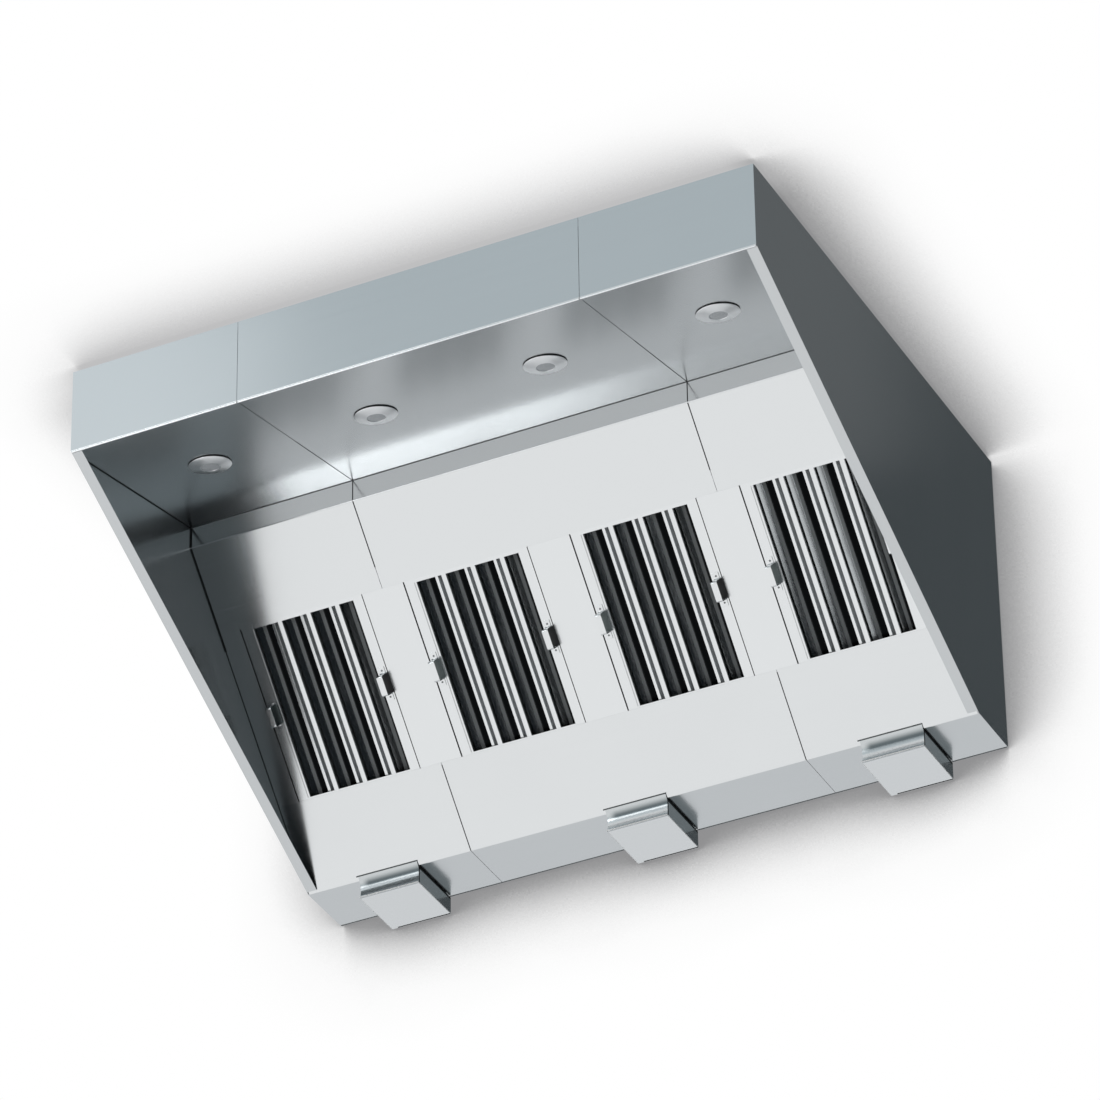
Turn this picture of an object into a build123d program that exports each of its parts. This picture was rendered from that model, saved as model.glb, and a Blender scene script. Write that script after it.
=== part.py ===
from build123d import *
import math
import os

# Commercial canopy hood for a wall, in millimetres.
# X runs along the hood, the open front faces -Y and +Z is up.
# The origin is the centre of the four suspension holes, on the top sheet's upper face.

# Overall canopy
width = 2000.0
depth = 1525.0
height = 915.0
sheet = 1.5
seat = 0.3

# Front fascia
fascia_height = 255.0
fascia_hem = 5.5
fascia_upstand = 20.0

# Light ceiling and the upright strip behind it
ceiling_depth = 645.0
ceiling_rise = 138.0
strip_drop = 66.5
lap_height = 20.0

# Sloping filter wall and the grease tray under it
tray_depth = 192.0
tray_upstand = 25.0
tray_rear_upstand = 40.0
upper_panel_length = 250.0
filter_opening_length = 500.0
filter_opening_width = 376.0

# Folds, laps and joints between the sheets
bend = 2.0
tight_bend = 0.5
seam_gap = 1.2
joint_flange = 20.0
rim_flange = 30.0
edge_flange = 25.0
flange_setback = 4.0
cutter_length = 10.0

# Filters and lamps side by side along the width
filter_count = 4
lamp_count = 4

# Baffle filter
filter_side_gap = 3.0
filter_head_lap = 5.0
filter_thick = 48.0
filter_sheet = 1.2
filter_foot_lap = 10.0
rail_width = 28.0
end_rail = 14.5
rear_rail = 18.0

# Baffle rows inside the filter
baffle_pitch = 87.9
strip_count = 4
strip_width = 16.0
strip_depth = 22.0
first_strip_lap = 8.2
trough_depth = 43.0
trough_fold_depth = 31.0
trough_fold_run = 22.0
trough_lip_depth = 7.0
trough_lip_width = 9.0
trough_lip_fall = 1.0
trough_floor_end = 72.5
trough_lip_edge = 60.5
trough_inner_lap = 8.0

# Filter handle
handle_width = 18.0
handle_span = 55.0
handle_stand = 33.0
handle_foot = 20.0
handle_sheet = 1.5
handle_bend = 4.0
rivet_radius = 2.5
rivet_head = 1.2

# Blank panels beside the filters
blank_return = 40.0

# Channels behind the wall that hold the filter ends
channel_room = 18.0
channel_lap = 20.0
channel_leg = 40.0
channel_play = 1.2
drain_slot_length = 40.0
drain_slot_width = 10.0
drain_slot_inset = 100.0

# Downlights
lamp_setback = 312.0
lamp_hole_radius = 45.0
bezel_radius = 56.0
bezel_rim = 2.5
bezel_shoulder = 5.0
bezel_shoulder_rise = 2.5
bezel_stand = 13.0
lens_radius = 30.0
lens_recess = 2.0
lens_thick = 3.0
lens_edge = 1.5
lens_crown_radius = 18.0
lens_crown_fall = 0.3
can_height = 75.0

# Grease drawers
drawer_width = 180.0
drawer_back_gap = 1.0
drawer_drop = 54.0
drawer_gap = 3.0
drawer_sheet = 1.2
drawer_flange = 12.0
grip_dish = 6.0
grip_rise = 8.0
grip_lean = 10.5
drain_radius = 18.0
runner_sheet = 1.5
runner_flange = 14.0
runner_inset = 5.0

# Exhaust collar
collar_radius = 199.0
collar_height = 100.0
collar_flange = 30.0

# Suspension brackets and wall fixing holes
hang_inset = 100.0
hang_hole_radius = 6.5
bracket_length = 80.0
bracket_width = 60.0
bracket_sheet = 4.0
bracket_upstand = 40.0
wall_hole_radius = 5.0
wall_hole_inset = 200.0
wall_hole_drop = 80.0

half_width = width / 2
end_module = width / 4
filter_pitch = width / filter_count
lamp_pitch = width / lamp_count
drawer_pitch = half_width - end_module / 2
filter_width = filter_opening_width - 2 * filter_side_gap
filter_length = filter_opening_length + filter_head_lap + filter_foot_lap
drawer_depth = tray_depth - drawer_back_gap
side_inner = half_width - sheet
lined_inner = side_inner - sheet - seat
y_front = -depth / 2
y_rear = depth / 2
y_tray = y_rear - tray_depth
y_strip = y_front + ceiling_depth
z_ceiling = ceiling_rise - fascia_height
z_strip = z_ceiling - strip_drop
wall_run = y_tray - y_strip
wall_fall = height + z_strip
wall_length = math.hypot(wall_run, wall_fall)
wall_angle = math.atan2(wall_fall, wall_run)
lower_start = upper_panel_length + filter_opening_length
collar_middle = (y_strip + y_rear) / 2

# Local frame of the sloping wall: x along the hood, y down the slope, z into the plenum
wall_plane = Plane(
    origin=(0, y_strip, z_strip),
    x_dir=(1, 0, 0),
    z_dir=(0, math.sin(wall_angle), math.cos(wall_angle)),
)
ceiling_front = y_front + fascia_hem
ceiling_front_z = fascia_hem * ceiling_rise / ceiling_depth - fascia_height
ceiling_angle = math.atan2(ceiling_rise, ceiling_depth)


def offset_points(points, distance):
    """Points of an open folded line moved sideways by distance, to the left of its direction."""
    moved = []
    count = len(points)
    for i in range(count):
        normals = []
        for j in (i - 1, i):
            if 0 <= j < count - 1:
                du = points[j + 1][0] - points[j][0]
                dv = points[j + 1][1] - points[j][1]
                run = math.hypot(du, dv)
                normals.append((-dv / run, du / run))
        if len(normals) == 1:
            nu, nv = normals[0]
            scale = distance
        else:
            nu = normals[0][0] + normals[1][0]
            nv = normals[0][1] + normals[1][1]
            scale = 2 * distance / (nu * nu + nv * nv)
        moved.append((points[i][0] + nu * scale, points[i][1] + nv * scale))
    return moved


def turn_radii(points, thickness, inner_bend):
    """Fillet radii of both faces of a folded sheet, from the way each corner turns."""
    near = []
    far = []
    for a, b, c in zip(points, points[1:], points[2:]):
        cross = (b[0] - a[0]) * (c[1] - b[1]) - (b[1] - a[1]) * (c[0] - b[0])
        turns_to_sheet = cross * thickness > 0
        near.append(inner_bend + abs(thickness) if turns_to_sheet else inner_bend)
        far.append(inner_bend if turns_to_sheet else inner_bend + abs(thickness))
    return near, far


def folded_face(points, thickness, inner_bend, plane):
    """Cross-section of a folded sheet whose outer face follows points."""
    other = offset_points(points, thickness)
    near, far = turn_radii(points, thickness, inner_bend)
    if len(points) > 2:
        first = FilletPolyline(*points, radius=near)
        second = FilletPolyline(*other, radius=far)
    else:
        first = Polyline(*points)
        second = Polyline(*other)
    ends = [Line(points[0], other[0]), Line(points[-1], other[-1])]
    return plane * make_face(Curve() + [first, second] + ends)


def along_x(x_start):
    """Section plane at x_start: its own x is the part's Y and its own y is the part's Z."""
    return Plane(origin=(x_start, 0, 0), x_dir=(0, 1, 0), z_dir=(1, 0, 0))


def folded(points, x_start, x_end, thickness=sheet, inner_bend=bend):
    """Folded sheet that runs along the hood from x_start to x_end."""
    face = folded_face(points, thickness, inner_bend, along_x(x_start))
    return extrude(face, amount=x_end - x_start)


def web(points, drop, x_start, thickness=sheet):
    """Joint flange square to the hood's length, behind the folded line points."""
    inner = offset_points(points, sheet)
    outer = offset_points(points, sheet + drop)
    face = along_x(x_start) * make_face(Polyline(*inner, *reversed(outer), close=True))
    return extrude(face, amount=thickness)


def block(x0, x1, y0, y1, z0, z1):
    """Box between two corners."""
    return Pos((x0 + x1) / 2, (y0 + y1) / 2, (z0 + z1) / 2) * Box(x1 - x0, y1 - y0, z1 - z0)


def wall_point(s, inward=0.0):
    """Point of the hood's section at s down the sloping wall and inward of its face."""
    y = y_strip + s * math.cos(wall_angle) + inward * math.sin(wall_angle)
    z = z_strip - s * math.sin(wall_angle) + inward * math.cos(wall_angle)
    return y, z


def modules(inset=sheet):
    """Name, start and end in x of the three modules along the hood."""
    seam = seam_gap / 2
    return [
        ("left", -half_width + inset, -half_width + end_module - seam),
        ("middle", -half_width + end_module + seam, half_width - end_module - seam),
        ("right", half_width - end_module + seam, half_width - inset),
    ]


def seam_sides(name, x_start, x_end):
    """Where a module's joint flanges start in x: one at each side that has a seam."""
    sides = []
    if name != "left":
        sides.append(x_start)
    if name != "right":
        sides.append(x_end - sheet)
    return sides


def filter_centres():
    first = -(filter_count - 1) / 2 * filter_pitch
    return [first + i * filter_pitch for i in range(filter_count)]


def make_side(sign):
    """Side sheet with the canopy's outline and the broad flange along its sloping rim."""
    outline = [
        (y_front + sheet, 0),
        (y_front + sheet, -fascia_height),
        (y_tray, -height),
        (y_rear, -height),
        (y_rear, 0),
    ]
    x_start = side_inner if sign > 0 else -half_width
    face = along_x(x_start) * make_face(Polyline(*outline, close=True))
    body = extrude(face, amount=sheet)
    rim_run = y_tray - y_front - sheet
    rim_fall = height - fascia_height
    rim_length = math.hypot(rim_run, rim_fall)
    cos_rim = rim_run / rim_length
    sin_rim = rim_fall / rim_length
    start = fascia_hem / cos_rim
    end = rim_length - 2 * flange_setback
    rim = []
    for along in (start, end):
        rim.append((y_front + sheet + along * cos_rim, -fascia_height - along * sin_rim))
    x_low = side_inner - rim_flange + sheet if sign > 0 else -side_inner
    x_high = x_low + rim_flange - sheet
    return body + folded(rim, x_low, x_high)


def make_fascia(name, x_start, x_end):
    """Fascia module: upright sheet with a hemmed drip edge and joint flanges."""
    outer = [
        (y_front, 0),
        (y_front, -fascia_height),
        (y_front + fascia_hem, -fascia_height),
        (y_front + fascia_hem, -fascia_height + fascia_upstand),
    ]
    body = folded(outer, x_start, x_end, inner_bend=tight_bend)
    upright = [
        (y_front, -sheet - edge_flange - seat),
        (y_front, -fascia_height + fascia_upstand + flange_setback),
    ]
    starts = seam_sides(name, x_start, x_end)
    if name == "left":
        starts.append(-side_inner)
    if name == "right":
        starts.append(side_inner - sheet)
    for x in starts:
        body += web(upright, joint_flange, x)
    hem_end = y_front + fascia_hem
    for x0, x1 in ((-half_width, -side_inner), (side_inner, half_width)):
        body -= block(x0, x1, y_front + sheet, hem_end, -fascia_height, -sheet)
    return body


def make_light_panel(name, x_start, x_end):
    """Ceiling module that carries the downlights, with a lap flange front and rear."""
    outer = [
        (ceiling_front, -fascia_height + fascia_upstand),
        (ceiling_front, ceiling_front_z),
        (y_strip, z_ceiling),
        (y_strip, z_ceiling + lap_height),
    ]
    body = folded(outer, x_start, x_end)
    slope = [
        lamp_point(2 * joint_flange),
        lamp_point((ceiling_depth - joint_flange) / math.cos(ceiling_angle)),
    ]
    for x in seam_sides(name, x_start, x_end):
        body += web(slope, joint_flange, x)
    for x in lamp_places():
        if x_start < x < x_end:
            body -= lamp_plane(x) * Cylinder(lamp_hole_radius, cutter_length)
    return body


def lamp_point(along):
    """Point of the ceiling's lower face at this distance from the fascia's bottom edge."""
    y = y_front + along * math.cos(ceiling_angle)
    z = -fascia_height + along * math.sin(ceiling_angle)
    return y, z


def lamp_places():
    return [(i - (lamp_count - 1) / 2) * lamp_pitch for i in range(lamp_count)]


def lamp_plane(x):
    """Frame of one downlight: its z points out of the ceiling, down into the canopy."""
    y, z = lamp_point(lamp_setback)
    normal = (0, math.sin(ceiling_angle), -math.cos(ceiling_angle))
    return Plane(origin=(x, y, z), x_dir=(1, 0, 0), z_dir=normal)


def turned(points, plane):
    """Solid of revolution about the plane's z axis, from (radius, height) points."""
    face = Plane.XZ * make_face(Polyline(*points, close=True))
    return plane * revolve(face, Axis.Z)


def make_bezel(plane):
    """Shallow cone ring round the lens, seated on the ceiling."""
    bore = lens_radius + seat
    can_bore = lamp_hole_radius - seat - sheet
    points = [
        (can_bore, 0),
        (bezel_radius, 0),
        (bezel_radius, bezel_rim),
        (bezel_radius - bezel_shoulder, bezel_rim + bezel_shoulder_rise),
        (bore + sheet, bezel_stand),
        (bore, bezel_stand),
        (bore, bezel_stand - lens_recess - lens_thick - sheet),
        (can_bore - bezel_shoulder, sheet),
    ]
    return turned(points, plane)


def make_lens(plane):
    """Lens disc with a slightly domed face, inside the bezel's bore."""
    base = bezel_stand - lens_recess - lens_thick
    points = [
        (0, base),
        (lens_radius, base),
        (lens_radius, base + lens_edge),
        (lens_crown_radius, base + lens_thick - lens_crown_fall),
        (0, base + lens_thick),
    ]
    return turned(points, plane)


def make_lamp_can(plane):
    """Drawn steel can above the ceiling that holds the lamp."""
    outer = lamp_hole_radius - seat
    points = [
        (outer, 0),
        (outer, -can_height),
        (0, -can_height),
        (0, -can_height + sheet),
        (outer - sheet, -can_height + sheet),
        (outer - sheet, 0),
    ]
    return turned(points, plane)


def make_upper_panel(name, x_start, x_end):
    """Upright strip and the top stretch of the sloping wall, folded from one sheet."""
    outer = [
        (y_strip, z_ceiling + lap_height),
        (y_strip, z_strip),
        wall_point(upper_panel_length),
    ]
    body = folded(outer, x_start, x_end)
    flange_end = channel_top_s() - channel_lap - flange_setback
    flange_line = [wall_point(joint_flange), wall_point(flange_end)]
    for x in seam_sides(name, x_start, x_end):
        body += web(flange_line, joint_flange, x)
    return body


def make_lower_panel(name, x_start, x_end):
    """Bottom stretch of the sloping wall, down to the grease tray."""
    outer = [wall_point(lower_start), wall_point(wall_length)]
    body = folded(outer, x_start, x_end)
    flange_line = [
        wall_point(channel_foot_s() + channel_lap + flange_setback),
        wall_point(wall_length - tray_upstand - flange_setback),
    ]
    for x in seam_sides(name, x_start, x_end):
        body += web(flange_line, joint_flange, x)
    return body


def filter_foot_s():
    return lower_start + filter_foot_lap


def filter_head_s():
    return filter_foot_s() - filter_length


def channel_foot_s():
    return filter_foot_s() + seat


def channel_top_s():
    return filter_head_s() - channel_room


def filter_front():
    """Depth of the filter's front face behind the sloping wall's face."""
    return sheet + seat


def filter_back():
    return filter_front() + filter_thick


def slope_section(points, x_start, x_end, thickness=sheet, inner_bend=bend):
    """Folded sheet along the hood from points (down the slope, inward of the wall)."""
    placed = [wall_point(s, inward) for s, inward in points]
    return folded(placed, x_start, x_end, thickness, inner_bend)


def make_head_channel():
    """Channel behind the upper panels that the filters' top ends slide up into."""
    rear = filter_back() + channel_play
    points = [
        (channel_top_s() - channel_lap, sheet),
        (channel_top_s(), sheet),
        (channel_top_s(), rear),
        (channel_top_s() + channel_leg, rear),
    ]
    return slope_section(points, -side_inner, side_inner)


def make_foot_channel():
    """Channel behind the lower panels that the filters stand in, with drain slots."""
    rear = filter_back() + channel_play
    foot = channel_foot_s()
    points = [
        (foot + channel_lap, sheet),
        (foot, sheet),
        (foot, rear),
        (foot - channel_leg, rear),
    ]
    body = slope_section(points, -side_inner, side_inner, thickness=-sheet)
    middle = (sheet + rear) / 2
    for centre in filter_centres():
        for side in (-1, 1):
            slot = Box(drain_slot_length, cutter_length, drain_slot_width)
            body -= wall_plane * (Pos(centre + side * drain_slot_inset, foot, middle) * slot)
    return body


def make_blank(x_start, x_end):
    """Blank panel between two filters: face, two side returns and a tab at each end."""
    top = upper_panel_length + seat
    foot = lower_start - seat
    head_tab = filter_head_s()
    foot_tab = channel_foot_s() - seat
    body = block(x_start, x_end, top, foot, 0, sheet)
    for x in (x_start, x_end - sheet):
        body += block(x, x + sheet, top, foot, sheet, blank_return)
    tab_start = x_start + sheet + seat
    tab_end = x_end - sheet - seat
    body += block(tab_start, tab_end, head_tab, top + joint_flange, sheet, 2 * sheet)
    body += block(tab_start, tab_end, foot - joint_flange, foot_tab, sheet, 2 * sheet)
    return wall_plane * body


def blank_places():
    """Start and end in x of the five blank panels."""
    edges = [-side_inner]
    for centre in filter_centres():
        edges.append(centre - filter_opening_width / 2)
        edges.append(centre + filter_opening_width / 2)
    edges.append(side_inner)
    return list(zip(edges[0::2], edges[1::2]))


def make_tray(x_start, x_end, centres):
    """Grease tray module: the flat bottom with upstands and a drain hole over each drawer."""
    front = wall_point(wall_length - tray_upstand, sheet)
    profile = [
        front,
        corner_under(front),
        (y_rear - sheet, -height),
        (y_rear - sheet, -height + tray_rear_upstand),
    ]
    body = folded(profile, x_start, x_end)
    for x in centres:
        if x_start < x < x_end:
            hole = Cylinder(drain_radius, cutter_length)
            body -= Pos(x, y_tray + tray_depth / 2, -height) * hole
    return body


def corner_under(point):
    """Where the tray's front upstand, running down the slope, meets the tray's lower face."""
    y, z = point
    fall = z + height
    return y + fall * math.cos(wall_angle) / math.sin(wall_angle), -height


def make_back():
    """Back sheet with its side flanges and the two wall fixing holes."""
    body = block(-side_inner, side_inner, y_rear - sheet, y_rear, -height, 0)
    low = -height + tray_rear_upstand + flange_setback
    high = -sheet - edge_flange - seat
    for x in (-side_inner, side_inner - sheet):
        body += block(x, x + sheet, y_rear - sheet - edge_flange, y_rear - sheet, low, high)
    for x in (wall_hole_inset - half_width, half_width - wall_hole_inset):
        hole = Rot(90, 0, 0) * Cylinder(wall_hole_radius, cutter_length)
        body -= Pos(x, y_rear - sheet / 2, -wall_hole_drop) * hole
    return body


def make_top():
    """Top sheet with turned-down edges, the duct hole and the suspension holes."""
    y0 = y_front + sheet
    y1 = y_rear - sheet
    body = block(-side_inner, side_inner, y0, y1, -sheet, 0)
    low = -sheet - edge_flange
    body += block(-side_inner, side_inner, y0, y0 + sheet, low, -sheet)
    body += block(-side_inner, side_inner, y1 - sheet, y1, low, -sheet)
    for x in (-side_inner, side_inner - sheet):
        body += block(x, x + sheet, y0 + sheet, y1 - sheet, low, -sheet)
    duct_hole = Cylinder(collar_radius + seat, cutter_length)
    body -= Pos(0, collar_middle, -sheet / 2) * duct_hole
    for x, y in hang_points():
        body -= Pos(x, y, -sheet / 2) * Cylinder(hang_hole_radius, cutter_length)
    return body


def hang_points():
    x = half_width - hang_inset
    y = depth / 2 - hang_inset
    return [(-x, -y), (-x, y), (x, -y), (x, y)]


def make_collar():
    """Round exhaust collar with a flange on the top sheet."""
    bore = collar_radius - sheet
    points = [
        (bore, 0),
        (collar_radius + collar_flange, 0),
        (collar_radius + collar_flange, sheet),
        (collar_radius, sheet),
        (collar_radius, collar_height),
        (bore, collar_height),
    ]
    return turned(points, Plane(origin=(0, collar_middle, 0)))


def make_plenum_wall():
    """Upright sheet that closes the exhaust plenum off from the space over the ceiling."""
    y = y_strip + sheet
    points = [
        (y + joint_flange, -sheet),
        (y, -sheet),
        (y, z_ceiling + seam_gap),
    ]
    return folded(points, -lined_inner, lined_inner)


def make_bracket(x, y):
    """Angle bracket on the top sheet with one suspension hole."""
    side = 1 if x > 0 else -1
    plate = block(
        x - bracket_width / 2, x + bracket_width / 2,
        y - bracket_length / 2, y + bracket_length / 2, 0, bracket_sheet,
    )
    edge = x + side * (bracket_width - bracket_sheet) / 2
    plate += block(
        edge - bracket_sheet / 2, edge + bracket_sheet / 2,
        y - bracket_length / 2, y + bracket_length / 2, bracket_sheet, bracket_upstand,
    )
    return plate - Pos(x, y, bracket_sheet / 2) * Cylinder(hang_hole_radius, cutter_length)


def make_filter_frame(centre):
    """Channel frame of one baffle filter, open front and rear between its rails."""
    half = filter_width / 2
    head = filter_head_s()
    foot = filter_foot_s()
    front = filter_front()
    back = filter_back()
    t = filter_sheet
    body = block(centre - half, centre + half, head, foot, front, back)
    body -= block(centre - half + t, centre + half - t, head + t, foot - t, front + t, back - t)
    opening = block(
        centre - half + rail_width, centre + half - rail_width,
        head + end_rail, foot - end_rail, front - t, front + 2 * t,
    )
    rear_opening = block(
        centre - half + rear_rail, centre + half - rear_rail,
        head + rear_rail, foot - rear_rail, back - 2 * t, back + t,
    )
    return wall_plane * (body - opening - rear_opening)


def strip_edges(centre):
    """Right edge in x of each front baffle, counted from the left rail."""
    first = centre - filter_width / 2 + rail_width - first_strip_lap + strip_width
    return [first + i * baffle_pitch for i in range(strip_count)]


def baffle_plane():
    """Section plane of the baffles at their upper end: x across, y into the filter."""
    start = filter_head_s() + filter_sheet + seat
    origin = wall_plane.from_local_coords(Vector(0, start, filter_front() + filter_sheet + seat))
    return Plane(origin=origin, x_dir=(1, 0, 0), z_dir=-wall_plane.y_dir)


def baffle_run():
    return filter_length - 2 * (filter_sheet + seat)


def baffle(points, thickness):
    """One folded baffle along the filter from points (across, inward)."""
    face = folded_face(points, thickness, bend / 2, baffle_plane())
    return extrude(face, amount=-baffle_run())


def make_front_baffles(centre):
    """Narrow channels, open to the rear, whose faces show between the slots."""
    strips = []
    for edge in strip_edges(centre):
        points = [
            (edge - strip_width, strip_depth),
            (edge - strip_width, 0),
            (edge, 0),
            (edge, strip_depth),
        ]
        strips.append(baffle(points, filter_sheet))
    return strips


def make_rear_baffles(centre):
    """Folded troughs behind the slots; each hooks into the channel at its left."""
    troughs = []
    edges = strip_edges(centre)
    right_wall = centre + filter_width / 2 - filter_sheet - seat
    for i, edge in enumerate(edges):
        left = edge - trough_inner_lap
        points = [
            (left, strip_depth / 2),
            (left, trough_fold_depth),
            (left + trough_fold_run, trough_depth),
        ]
        if i < len(edges) - 1:
            lip_edge = edge + trough_lip_edge
            points.append((edge + trough_floor_end, trough_depth))
            points.append((lip_edge, trough_lip_depth))
            points.append((lip_edge - trough_lip_width, trough_lip_depth + trough_lip_fall))
        else:
            lean = trough_floor_end - trough_lip_edge
            points.append((right_wall, trough_depth))
            points.append((right_wall - lean, trough_lip_depth))
        troughs.append(baffle(points, -filter_sheet))
    return troughs


def handle_places(centre):
    inset = (filter_width - rail_width) / 2
    return [centre - inset, centre + inset]


def make_handles(centre):
    """Two strap handles riveted to the filter's side rails."""
    handles = []
    face = filter_front()
    top = face - handle_stand
    middle = (filter_head_s() + filter_foot_s()) / 2
    half = handle_span / 2
    line = [
        (middle - half - handle_foot, face),
        (middle - half, face),
        (middle - half, top),
        (middle + half, top),
        (middle + half, face),
        (middle + half + handle_foot, face),
    ]
    for x in handle_places(centre):
        strap = slope_section(
            line, x - handle_width / 2, x + handle_width / 2,
            thickness=-handle_sheet, inner_bend=handle_bend,
        )
        for s in (middle - half - handle_foot / 2, middle + half + handle_foot / 2):
            head = Cylinder(rivet_radius, rivet_head)
            height_in = face - handle_sheet - rivet_head / 2
            strap += wall_plane * (Pos(x, s, height_in) * head)
        handles.append(strap)
    return handles


def make_runners(centre):
    """Pair of folded rails under the tray that carry one drawer by its top flanges."""
    rails = []
    z_top = -height
    z_shelf = -height - drawer_gap - drawer_sheet - seat
    inner = drawer_width / 2 - drawer_flange - seat
    outer = drawer_width / 2 - drawer_sheet - seat
    for side in (-1, 1):
        points = [
            (centre + side * (inner - runner_flange), z_top),
            (centre + side * inner, z_top),
            (centre + side * inner, z_shelf),
            (centre + side * outer, z_shelf),
        ]
        start = y_tray + runner_inset
        run = drawer_depth - 2 * runner_inset
        plane = Plane(origin=(0, start + run, 0), x_dir=(1, 0, 0), z_dir=(0, -1, 0))
        face = folded_face(points, -side * runner_sheet, tight_bend, plane)
        rails.append(extrude(face, amount=run))
    return rails


def drawer_front_curve(shift):
    """Dished front of a drawer from its bottom edge to the lip, moved back by shift."""
    y0 = y_tray + shift
    z0 = -height - drawer_drop
    z1 = -height - drawer_gap
    dish = ThreePointArc((y0, z0), (y0 + grip_dish, (z0 + z1) / 2), (y0 - drawer_gap, z1))
    lip = Line(dish @ 1, (y0 - grip_lean, -height + grip_rise))
    return dish, lip


def make_drawer(centre):
    """Open-topped grease drawer with side flanges for its rails and a dished front grip."""
    x0 = centre - drawer_width / 2
    x1 = centre + drawer_width / 2
    y1 = y_tray + drawer_depth
    z0 = -height - drawer_drop
    z1 = -height - drawer_gap
    t = drawer_sheet
    dish, lip = drawer_front_curve(0)
    outline = Curve() + [dish, Polyline(dish @ 1, (y1, z1), (y1, z0), dish @ 0)]
    body = extrude(along_x(x0) * make_face(outline), amount=drawer_width)
    inner_dish, inner_lip = drawer_front_curve(t)
    walls = Polyline(inner_dish @ 1, (y1 - t, z1), (y1 - t, z0), inner_dish @ 0)
    inside = Curve() + [inner_dish, walls]
    hollow = extrude(along_x(x0 + t) * make_face(inside), amount=drawer_width - 2 * t)
    body -= hollow & block(x0, x1, y_tray - grip_lean, y1, z0 + t, z1 - t)
    body -= block(x0 + drawer_flange, x1 - drawer_flange, y_tray + t, y1, z1 - 2 * t, z1 + t)
    shelf_low = z1 - t - runner_sheet - 2 * seat
    body -= block(x0 + t, x1 - t, y1 - 2 * t, y1 + t, shelf_low, z1 - t)
    tip = inner_lip @ 1
    hem = Polyline(lip @ 1, (tip.X, tip.Y), inner_lip @ 0)
    front = Curve() + [lip, hem, Line(inner_lip @ 0, lip @ 0)]
    body += extrude(along_x(x0) * make_face(front), amount=drawer_width)
    return body


def make_hangers():
    return [make_bracket(x, y) for x, y in hang_points()]


def drawer_centres():
    return [i * drawer_pitch for i in (-1, 0, 1)]


def build():
    """All sub-parts of the hood, by node name."""
    parts = {
        "top_panel": make_top(),
        "back_panel": make_back(),
        "side_panel_left": make_side(-1),
        "side_panel_right": make_side(1),
        "plenum_wall": make_plenum_wall(),
        "exhaust_collar": make_collar(),
        "suspension_brackets": make_hangers(),
        "filter_head_channel": make_head_channel(),
        "filter_foot_channel": make_foot_channel(),
    }
    for name, x_start, x_end in modules(inset=0):
        parts[f"fascia_{name}"] = make_fascia(name, x_start, x_end)
    for name, x_start, x_end in modules():
        parts[f"light_panel_{name}"] = make_light_panel(name, x_start, x_end)
        parts[f"upper_panel_{name}"] = make_upper_panel(name, x_start, x_end)
        parts[f"lower_panel_{name}"] = make_lower_panel(name, x_start, x_end)
        parts[f"grease_tray_{name}"] = make_tray(x_start, x_end, drawer_centres())
    for number, (x_start, x_end) in enumerate(blank_places(), start=1):
        parts[f"blank_panel_{number}"] = make_blank(x_start, x_end)
    cans = []
    for number, x in enumerate(lamp_places(), start=1):
        plane = lamp_plane(x)
        parts[f"lamp_bezel_{number}"] = make_bezel(plane)
        parts[f"lamp_lens_{number}"] = make_lens(plane)
        cans.append(make_lamp_can(plane))
    parts["lamp_cans"] = cans
    for number, centre in enumerate(filter_centres(), start=1):
        parts[f"filter_frame_{number}"] = make_filter_frame(centre)
        parts[f"front_baffles_{number}"] = make_front_baffles(centre)
        parts[f"rear_baffles_{number}"] = make_rear_baffles(centre)
        parts[f"filter_handles_{number}"] = make_handles(centre)
    runners = []
    for number, centre in enumerate(drawer_centres(), start=1):
        parts[f"grease_drawer_{number}"] = make_drawer(centre)
        runners += make_runners(centre)
    parts["drawer_runners"] = runners
    return parts


def main():
    os.makedirs("parts", exist_ok=True)
    for name, shape in build().items():
        solid = Compound(children=shape) if isinstance(shape, list) else shape
        export_step(solid, f"parts/{name}.step")


if __name__ == "__main__":
    main()
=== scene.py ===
"""Commercial canopy hood: finishes, detailed pieces, studio and camera round the CAD part."""
import math

import bmesh
import bpy
from bpy.props import FloatProperty, FloatVectorProperty, PointerProperty
from mathutils import Matrix, Vector


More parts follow.
